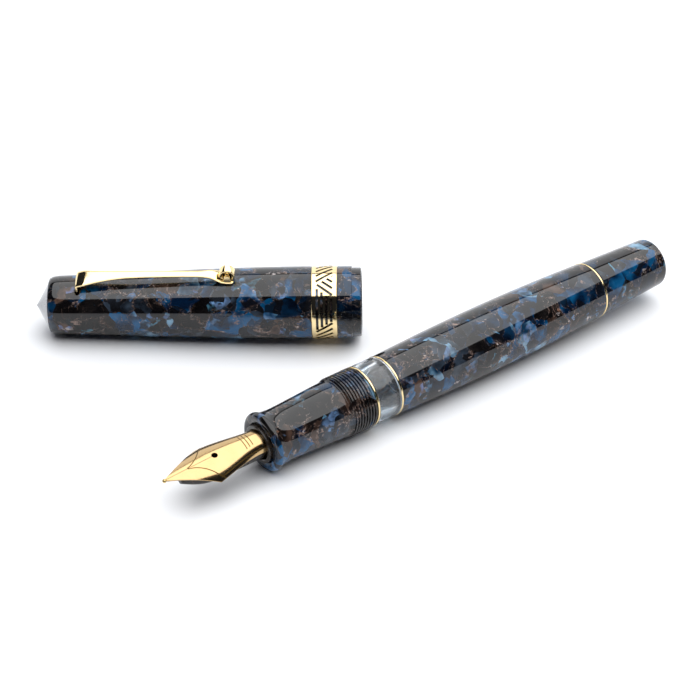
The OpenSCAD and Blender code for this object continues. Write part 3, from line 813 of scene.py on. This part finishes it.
def make_engraving():
    """A border that follows the nib's outline, and three plain rules behind the hole."""
    lines = []
    apex, apex_half_w, arm_end = NIB_TIP + 4.7, 0.12, SHOULDER + 1.2
    arm_n, rim_n, rule_n = 24, 29, 16
    for side in (1, -1):
        arm = []
        for i in range(arm_n + 1):
            t = i / arm_n
            s = apex + (arm_end - apex) * t
            out = apex_half_w + (nib_w(s) * 0.985 - apex_half_w) * t**1.25
            arm.append((s, side * out))
        lines.append(arm)
        rim = []
        for i in range(rim_n + 1):
            s = SHOULDER + 0.4 + (HOUSING_FRONT - 1.2 - SHOULDER) * i / rim_n
            rim.append((s, side * (nib_w(s) - 0.55)))
        lines.append(rim)
    for i in range(3):
        s = BREATHER_AT + 6.3 + 0.75 * i
        half = 1.7 - 0.15 * i
        lines.append([(s, -half + 2 * half * k / rule_n) for k in range(rule_n + 1)])
    # the engraving is drawn as dark strips, a painted shade of the grooves
    engraved("nib_engraving_painted_shade", lines, 0.19)


def make_tipping():
    """The writing pellet: two halves of a slightly flattened ball, parted by the slit."""
    r, half_slit = 0.42, 0.02
    flat = r * 0.92
    centre = (NIB_TIP - 0.35, 0.0, nib_top(NIB_TIP) - NIB_T / 2)
    rings, steps = 14, 24
    shapes = []
    for side in (1, -1):
        points = [(centre[0], side * (half_slit + flat), centre[2])]
        for i in range(1, rings + 1):
            polar = math.pi / 2 * i / rings
            y = side * (half_slit + flat * math.cos(polar))
            out = math.sin(polar)
            for j in range(steps):
                a = 2 * math.pi * j / steps
                x, z = r * out * math.cos(a), flat * out * math.sin(a)
                points.append((centre[0] + x, y, centre[2] + z))
        faces = [(0, 1 + (j + 1) % steps, 1 + j) for j in range(steps)]
        faces += [tuple(1 + k for k in face) for face in ring_faces(rings, steps, False)]
        faces.append(tuple(1 + (rings - 1) * steps + j for j in range(steps)))
        shapes.append((points, faces))
    points, faces = joined(shapes)
    piece("tipping", points, faces, NIB, TIPPING, "pen", "tipping_metal", ["nib_tipping"], 40)


FEED_R = SHANK_R - NIB_T - 0.05
FEED_TIP = NIB_TIP + 3.2
FEED_BACK = -8.5
FEED_NOSE_R, FEED_NOSE_L = 0.6, 6.6
FIN_N, FIN_GAP, FIN_STEP, FIN_DEPTH = 9, 0.35, 0.95, 0.72
FIN_FROM = FEED_TIP + 6


def make_feed():
    """The feed: a round tongue with a flat top, an ink channel and fins across its underside."""

    def plain_r(s):
        along = min(1.0, max(0.0, (s - FEED_TIP) / FEED_NOSE_L))
        return FEED_NOSE_R + (FEED_R - FEED_NOSE_R) * math.sin(math.pi / 2 * along)

    step_in = 0.001
    stations = [FEED_TIP + 0.35 * i for i in range(17)]
    for i in range(FIN_N):
        a = FIN_FROM + i * FIN_STEP
        stations += [a, a + step_in, a + FIN_GAP, a + FIN_GAP + step_in]
    stations += [-19.0, -18.6, FEED_BACK]
    stations = sorted(stations)
    steps = 72
    flat = FEED_R - 0.75
    points = []
    for s in stations:
        back = 0.3 if s > -18.7 else 0.0
        r = plain_r(s) - back
        place = s - FIN_FROM
        fin = place % FIN_STEP
        grooved = 0 <= place < FIN_N * FIN_STEP and step_in / 2 < fin < FIN_GAP + step_in / 2
        for j in range(steps):
            a = 2 * math.pi * j / steps
            y, z = r * math.sin(a), -r * math.cos(a)
            if grooved and z < -0.6:
                y, z = y * FIN_DEPTH, max(z * FIN_DEPTH, -r * FIN_DEPTH)
            z = min(z, flat)
            if z == flat and abs(y) < 0.2:
                z = flat - 0.5
            points.append((s, y, z))
    faces = ring_faces(len(stations), steps, False) + end_faces(len(stations), steps)
    piece("feed_tongue", points, faces, NIB, EBONITE, "pen", "ebonite", ["feed"], 28)


def make_housing():
    """The dark sleeve round nib and feed, with a groove behind its front for the seal."""
    r, edge, chamfer = HOUSING_HEAD_R, 0.22, 0.12
    outline = [(HOUSING_FRONT + chamfer, HOUSING_BORE), (HOUSING_FRONT, HOUSING_BORE + chamfer)]
    outline += arc((HOUSING_FRONT + edge, r - edge), edge, 180, 90, 5)
    outline += [(-21.9, r), (-21.9, 3.15), (-21.0, 3.15), (-21.0, HOUSING_R)]
    outline += [(-9.6, HOUSING_R), (-9.6, HOUSING_BORE)]
    turned("housing_ring", outline, PEN, EBONITE, "pen", "ebonite", ["nib_housing"])


# ------------------------------------------------------------------ cap

CAP_R, CROWN_R, CAP_L, FLARE_FROM = 7.58, 6.1, 54.5, -24.0
CAP_SLOPE = (CAP_R - CROWN_R) / (CAP_L + FLARE_FROM / 2)
BAND_R, BAND_W, BAND_T = CAP_R + 0.04, 5.3, 0.29
CROWN_BASE = 5.75
CONE_TIP = reach("cap_crown", CAP)[0]
CAP_SPIGOT, CAP_SPIGOT_TO = 7.3, 6.6
CAP_BORE = 6.45
INNER_CAP_R, INNER_CAP_FROM, INNER_CAP_TO = 5.5, -39.0, -14.3
HEAD_BORE_R = 3.6
STEP_AT = 8.35
MOUTH_LIP = 7.2
CLIP_FROM = -48.6
LEG_T, LEG_HALF_W = 0.7, 2.15


def tube_r(x):
    """Radius of the cap's tube: a straight cone that flares level towards the mouth."""
    if x < FLARE_FROM:
        return CROWN_R + CAP_SLOPE * (x + CAP_L)
    return CAP_R + CAP_SLOPE * x * x / (2 * FLARE_FROM)


def make_cap_tube():
    """The cap's tube: a rounded rim at the crown, a stepped bore and the slot of the clip's leg."""
    skin = [(-CAP_L, CROWN_BASE - 0.08)]
    for along, rise in ((0.06, 0.0), (0.2, 0.11), (0.45, 0.23)):
        skin.append((-CAP_L + along, CROWN_BASE + rise))
    skin.append((-CAP_L + 1.0, tube_r(-CAP_L + 1.0) - 0.07))
    count = 40
    start, end = -CAP_L + 1.9, -0.09
    for i in range(count + 1):
        station = start + (end - start) * i / count
        skin.append((station, tube_r(station)))
    outline = skin + [(-FIT, CAP_R - 0.06), (-FIT, CAP_SPIGOT)]
    outline += [(CAP_SPIGOT_TO, CAP_SPIGOT), (CAP_SPIGOT_TO, CAP_BORE)]
    liner = INNER_CAP_R + FIT
    outline += [(INNER_CAP_TO, CAP_BORE), (INNER_CAP_TO, liner), (INNER_CAP_FROM - FIT, liner)]
    outline += [(INNER_CAP_FROM - FIT, HEAD_BORE_R), (-CAP_L, HEAD_BORE_R)]
    made = turned("cap_body", outline, CAP, RESIN_CAP, "cap", "marbled_resin", ["cap_tube"])
    end_r = LEG_T / 2 + 0.25
    middle, reach_y = CLIP_FROM + LEG_T / 2, LEG_HALF_W + 0.5 - end_r
    slot = arc((middle, reach_y), end_r, 0, 180, 10) + arc((middle, -reach_y), end_r, 180, 360, 10)
    cut(made, CAP, *prism(slot, 0.5, CAP_R))


def make_crown():
    """The crown: a low cone with a softened point."""
    tip_soft = 0.10
    base, rim, rim_r = -CAP_L - FIT, -CAP_L - 0.09, CROWN_BASE - 0.02
    flank = [(base, 0.0), (base, CROWN_BASE - 0.06), (rim, rim_r)]
    count = 12
    for i in range(1, count):
        t = i / count
        flank.append((rim - (rim - CONE_TIP) * t, rim_r * (1 - t)))
    flank += [(CONE_TIP + tip_soft, 0.20), (CONE_TIP + 0.03, 0.10), (CONE_TIP, 0.0)]
    turned("crown_cone", flank, CAP, CROWN, "cap", "crown_resin", ["cap_crown"])


# Band pattern, the same three times round: long slots that run round, then two leaning sets
PATTERN_N, PATTERN_AT, SLOT_N = 3, 56.0, 4
SLOT_W, SLOT_STEP = 0.54, 11.0
SLOT_FROM, SLOT_TO = 0.95, BAND_W - 0.95
SLOT_CLIMB, LONG_HALF, LOW_AT, HIGH_AT, LOW_GAP = 5.5, 34.5, 24.6, 47.5, 7.0
LONG_INSET = 0.25


def band_slots():
    """The slots of one pattern as (x, angle) to (x, angle), degrees from the pattern's middle."""
    slots = []
    for i in range(SLOT_N):
        x = SLOT_FROM + LONG_INSET + i * (SLOT_TO - SLOT_FROM - 2 * LONG_INSET) / (SLOT_N - 1)
        half = LONG_HALF - SLOT_CLIMB * (x - SLOT_FROM - LONG_INSET)
        slots.append((x, -half, x, half))
        gap = SLOT_STEP * i - HIGH_AT + LOW_AT + LOW_GAP
        low_x = (gap + SLOT_CLIMB * (SLOT_FROM + SLOT_TO)) / (2 * SLOT_CLIMB)
        low = LOW_AT + SLOT_STEP * i
        slots.append((low_x, low + SLOT_CLIMB * (SLOT_TO - low_x), SLOT_TO, low))
        high = HIGH_AT + SLOT_STEP * i
        slots.append((SLOT_FROM, high, SLOT_TO, high + SLOT_CLIMB * (SLOT_TO - SLOT_FROM)))
    return slots


def slot_cutter(x1, a1, x2, a2, turn):
    """A curved bar through the band's wall between two places on it."""
    run = math.radians(a2 - a1) * BAND_R
    length = math.hypot(x2 - x1, run)
    count = max(2, math.ceil(abs(a2 - a1) / 3))
    side = (-run / length * SLOT_W / 2, (x2 - x1) / length * SLOT_W / 2)
    points = []
    for i in range(count + 1):
        t = i / count
        x, arc_at = x1 + (x2 - x1) * t, math.radians(a1 + (a2 - a1) * t) * BAND_R
        for sign in (1, -1):
            angle = math.radians(PATTERN_AT + turn) - (arc_at + sign * side[1]) / BAND_R
            for r in (BAND_R - BAND_T - 0.15, BAND_R + 0.3):
                points.append((x + sign * side[0], -r * math.sin(angle), r * math.cos(angle)))
    return points, bar_faces(count + 1)


def make_band():
    """The gold band with its pattern cut through."""
    outline = soft_edged(FIT / 2, BAND_W, BAND_R, BAND_R - BAND_T, 0.16)
    made = turned("band", outline, CAP, GOLD, "cap", "gold_plate", ["cap_band"])
    turns = [i * 360 / PATTERN_N for i in range(PATTERN_N)]
    cutters = [slot_cutter(*slot, turn) for turn in turns for slot in band_slots()]
    cut(made, CAP, *joined(cutters), crossing=True)


def make_mouth_ring():
    """The stepped resin ring at the cap's mouth, with the thread's ridges in its bore."""
    first, step, outer = BAND_W + FIT, STEP_AT, CAP_R - 0.03
    edge, lip_edge = 0.15, 0.32
    outline = [(first, CAP_SPIGOT + FIT), (first, outer - 0.06), (first + 0.06, outer)]
    outline += arc((step - edge, outer - edge), edge, 90, 0, 4)
    outline += [(step, MOUTH_LIP + 0.02)]
    outline += arc((MOUTH_STATION - lip_edge, MOUTH_LIP - lip_edge), lip_edge, 90, 0, 6)
    outline += [(MOUTH_STATION, CAP_BORE + 0.1), (MOUTH_STATION - 0.1, CAP_BORE)]
    ridges, ridge_h, ridges_from = 4, 0.07, 7.0
    for i in reversed(range(ridges)):
        for place, rise in ((0.6, 0.0), (0.42, 1.0), (0.26, 1.0), (0.08, 0.0)):
            outline.append((ridges_from + (i + place) * PITCH, CAP_BORE - ridge_h * rise))
    outline += [(CAP_SPIGOT_TO + FIT, CAP_BORE), (CAP_SPIGOT_TO + FIT, CAP_SPIGOT + FIT)]
    turned("mouth_ring", outline, CAP, RESIN_CAP, "cap", "marbled_resin", ["cap_mouth_ring"])


# ------------------------------------------------------------------ clip

CLIP_END = ROLLER_CENTRE.x
ROLLER_H = ROLLER_CENTRE.z
CLIP_T = 0.55
ROLLER_R, ROLLER_HALF, AXLE_R = 1.62, 0.95, 0.35
STRIP_HALF_W, FORK_HALF_W, EAR_HALF_W, EAR_R = 0.79, 1.62, 1.5, 0.62
CLIP_CREST_H, CLIP_LEG_DROP, CLIP_END_DROP = 8.82, 1.35, 0.2
CLIP_BEND_FROM = 0.88
FORK_H = tube_r(CLIP_END)
FORK_TIP_L = 1.25
LEG_FOOT = 4.3
CLIP_REACH = CLIP_END - CLIP_FROM


def clip_h(u):
    """Height of the clip's underside: it climbs, falls a little, then drops beside the roller."""
    if u < 0.5:
        return CLIP_CREST_H - CLIP_LEG_DROP * (1 - 2 * u) ** 2.2
    along = min(u, CLIP_BEND_FROM)
    strip = CLIP_CREST_H - CLIP_END_DROP * ((along - 0.5) / (CLIP_BEND_FROM - 0.5)) ** 2
    return strip - (strip - FORK_H) * ease(u, CLIP_BEND_FROM, 1)


def clip_half_w(u):
    """Half width of the clip: a broad head, a slender strip and the fork at its end."""
    head = 1.29 * max(0.0, 1 - u / 0.36) ** 1.95
    taper = 0.17 * max(0.0, (0.75 - u) / 0.38) ** 1.4
    fork = (FORK_HALF_W - STRIP_HALF_W) * min(1.0, max(0.0, (u - 0.8) / 0.16)) ** 1.6
    return min(LEG_HALF_W, STRIP_HALF_W + head + taper + fork)


def strip_section(half, thick, crown):
    """A section across the clip, (y, height): rounded edges and a slightly crowned top."""
    b = min(0.16, thick * 0.4)
    under = [(-half + b, 0.0), (half - b, 0.0), (half - b * 0.3, b * 0.3), (half, b)]
    top = [(half, thick - b), (half - b * 0.3, thick - b * 0.3), (half - b, thick)]
    for i in range(1, 8):
        y = (half - b) * (1 - i / 4)
        top.append((y, thick + crown * (1 - (y / (half - b)) ** 2)))
    top += [(-half + b, thick), (-half + b * 0.3, thick - b * 0.3), (-half, thick - b)]
    return under + top + [(-half, b), (-half + b * 0.3, b * 0.3)]


def clip_slope(low, high):
    """The strip's slope in degrees between two shares of its length."""
    return math.degrees(math.atan2(clip_h(high) - clip_h(low), (high - low) * CLIP_REACH))


def clip_path():
    """The clip's outer face from the leg's foot to the fork's tips: x, height, slope, half width."""
    bend_r, bend_n, count = 0.75, 8, 60
    corner = (CLIP_FROM + bend_r, clip_h(0) + CLIP_T - bend_r)
    path = []
    for i in range(bend_n + 1):
        height = LEG_FOOT + (corner[1] - LEG_FOOT) * i / bend_n
        path.append((CLIP_FROM, height, 90.0, LEG_HALF_W))
    slope0 = clip_slope(0.02, 0.04)
    for i in range(1, bend_n + 1):
        turn = 90 + (slope0 - 90) * i / bend_n
        a = math.radians(turn + 90)
        x, height = corner[0] + bend_r * math.cos(a), corner[1] + bend_r * math.sin(a)
        path.append((x, height, turn, LEG_HALF_W))
    step = 0.5 / count
    for i in range(3, count + 1):
        u = i / count
        x, height = CLIP_FROM + CLIP_REACH * u, clip_h(u) + CLIP_T
        path.append((x, height, clip_slope(u - step, u + step), clip_half_w(u)))
    tips = ((0.6, FORK_HALF_W), (FORK_TIP_L - 0.2, FORK_HALF_W - 0.04), (FORK_TIP_L, 1.4))
    return path + [(CLIP_END + dx, FORK_H + CLIP_T, 0.0, half) for dx, half in tips]


def make_clip():
    """The clip: leg, strip and fork in one bent sheet, and the ears that hold the axle."""
    path = clip_path()
    points = []
    for x, z, turn, half in path:
        along = math.radians(turn)
        up = (-math.sin(along), math.cos(along))
        for y, h in strip_section(half, CLIP_T, 0.08):
            lift = h - CLIP_T
            points.append((x + up[0] * lift, y, z + up[1] * lift))
    loop = len(points) // len(path)
    faces = ring_faces(len(path), loop, False) + end_faces(len(path), loop)
    made = piece("clip_strip", points, faces, CAP, GOLD, "clip", "gold_plate", ["clip"], 38)
    room_half = 2.6
    low, high, end = ROLLER_H - room_half, ROLLER_H + room_half, CLIP_END + room_half
    room = arc((CLIP_END, ROLLER_H), ROLLER_R + 0.1, 90, 270, 32)
    room += [(CLIP_END, low), (end, low), (end, high), (CLIP_END, high)]
    inside = ROLLER_HALF + 0.15
    cut(made, CAP, *prism(room, -inside, inside, along_y))
    foot, foot_half = FORK_H + CLIP_T - 0.05, EAR_R + 0.25
    ear = arc((CLIP_END, ROLLER_H), EAR_R, 0, 180, 16)
    ear += [(CLIP_END - foot_half, foot), (CLIP_END + foot_half, foot)]
    walls = ((inside, EAR_HALF_W), (-EAR_HALF_W, -inside))
    ears = joined([prism(ear, first, last, along_y, 0.05) for first, last in walls])
    piece("clip_ears", *ears, CAP, GOLD, "clip", "gold_plate", [], 38)


def across_clip(name, outline, material, body, slot, stands_for):
    """A solid turned about the roller's axle from (place along the axle, radius) points."""
    axes = CAP @ Matrix.Translation(ROLLER_CENTRE * MM) @ Matrix.Rotation(math.pi / 2, 4, "Z")
    return turned(name, outline, axes, material, body, slot, stands_for)


def make_roller():
    """The roller with its dished faces, and the axle through it."""
    bore = AXLE_R + 0.07
    half, r = ROLLER_HALF, ROLLER_R
    face = [(half - 0.28, bore), (half - 0.28, 0.62), (half - 0.12, 0.95), (half - 0.02, 1.25)]
    edge = 0.14
    right = face + arc((half - edge, r - edge), edge, 0, 90, 4)
    outline = right + [(-p[0], p[1]) for p in reversed(right)]
    across_clip("roller", outline, GOLD, "roller", "gold_plate", ["clip_roller"])
    end = EAR_HALF_W
    pin = [(-end, 0.0), (-end, AXLE_R - 0.15), (-end + 0.12, AXLE_R)]
    pin += [(end - 0.12, AXLE_R), (end, AXLE_R - 0.15), (end, 0.0)]
    across_clip("roller_pin", pin, GOLD, "clip", "gold_plate", ["roller_axle"])


# ------------------------------------------------------------------ stage

FLOOR_HALF, FLOOR_DROP = 3000.0, 0.02
SOFTBOX_LIGHT, SOFTBOX_H, SOFTBOX_CORNER = 2.7, 900.0, 170.0
SOFTBOX_X, SOFTBOX_Y = (-510.0, 1180.0), (-650.0, 900.0)
BACKDROP_LIGHT, BACKDROP_AT, BACKDROP_HALF, BACKDROP_RISE = 1.35, 900.0, 1500.0, 41.0


def sheet(name, corners, material):
    """A flat face of the stage."""
    face = [tuple(range(len(corners)))]
    return piece(name, corners, face, Matrix.Identity(4), material, None, None, [])


def make_stage():
    """A pale table, an even backdrop behind, one big soft light overhead and dark all round."""
    half, low = FLOOR_HALF, -FLOOR_DROP
    corners = [(-half, -half, low), (half, -half, low), (half, half, low), (-half, half, low)]
    floor = sheet("floor", corners, paper())
    (left, right), (front, back) = SOFTBOX_X, SOFTBOX_Y
    outline = [
        (left + SOFTBOX_CORNER, front),
        (right - SOFTBOX_CORNER, front),
        (right, front + SOFTBOX_CORNER),
        (right, back),
        (left, back),
        (left, front + SOFTBOX_CORNER * 1.3),
    ]
    corners = [(x, y, SOFTBOX_H) for x, y in outline]
    softbox = sheet("softbox", corners, glow("softbox_light", (0.98, 0.99, 1.0), SOFTBOX_LIGHT))
    half, top = BACKDROP_HALF, BACKDROP_AT * math.tan(math.radians(BACKDROP_RISE))
    outline = [(-half, 0), (half, 0), (half, top), (-half, top)]
    corners = [(x, BACKDROP_AT, z) for x, z in outline]
    wall = sheet("backdrop", corners, glow("backdrop_light", (0.95, 0.97, 1.0), BACKDROP_LIGHT))
    world = bpy.data.worlds.new("studio")
    world.use_nodes = True
    world.node_tree.nodes["Background"].inputs["Color"].default_value = (0.014, 0.016, 0.024, 1)
    bpy.context.scene.world = world


VIEW_ELEVATION, VIEW_AZIMUTH, VIEW_ROLL = 35.0, -0.166, 0.98
VIEW_DISTANCE = 404.55
VIEW_TARGET = (-0.914, 13.103, 0.0)
VIEW_LENS, VIEW_SENSOR = 99.76, 36.0


def make_camera():
    """The photographer's camera: in front of the pen and above it, rolled a little."""
    data = bpy.data.cameras.new("camera")
    data.sensor_width = VIEW_SENSOR
    data.lens = VIEW_LENS
    data.clip_start, data.clip_end = 0.01, 20.0
    camera = bpy.data.objects.new("camera", data)
    bpy.context.scene.collection.objects.link(camera)
    e, a, roll = (math.radians(v) for v in (VIEW_ELEVATION, VIEW_AZIMUTH, VIEW_ROLL))
    ahead = Vector((math.sin(a) * math.cos(e), math.cos(a) * math.cos(e), -math.sin(e)))
    right = ahead.cross(Vector((0, 0, 1))).normalized()
    up = right.cross(ahead)
    x = right * math.cos(roll) + up * math.sin(roll)
    y = up * math.cos(roll) - right * math.sin(roll)
    made = Matrix((x, y, -ahead)).transposed().to_4x4()
    made.translation = (Vector(VIEW_TARGET) - ahead * VIEW_DISTANCE) * MM
    camera.matrix_world = made
    bpy.context.scene.camera = camera


INNER = {
    "housing_seal": RUBBER,
    "mechanism_housing": BRASS,
    "retaining_ring": BRASS,
    "piston_rod": PLASTIC,
    "piston_head": PLASTIC,
    "piston_seals": RUBBER,
    "knob_core": BRASS,
    "spindle": STEEL,
    "inner_cap": EBONITE,
    "crown_screw": BRASS,
    "clip_anchor": BRASS,
}


def dress_inner_nodes():
    """Materials for the CAD nodes that show as they are."""
    for name, material in INNER.items():
        mesh = nodes[name].data
        mesh.materials.clear()
        mesh.materials.append(material)


make_trim_rings()
make_grip()
make_window()
make_barrel()
make_knob()
make_nib()
make_engraving()
make_tipping()
make_feed()
make_housing()
make_cap_tube()
make_crown()
make_band()
make_mouth_ring()
make_clip()
make_roller()
dress_inner_nodes()
make_stage()
make_camera()
bpy.context.scene.view_settings.view_transform = "Standard"
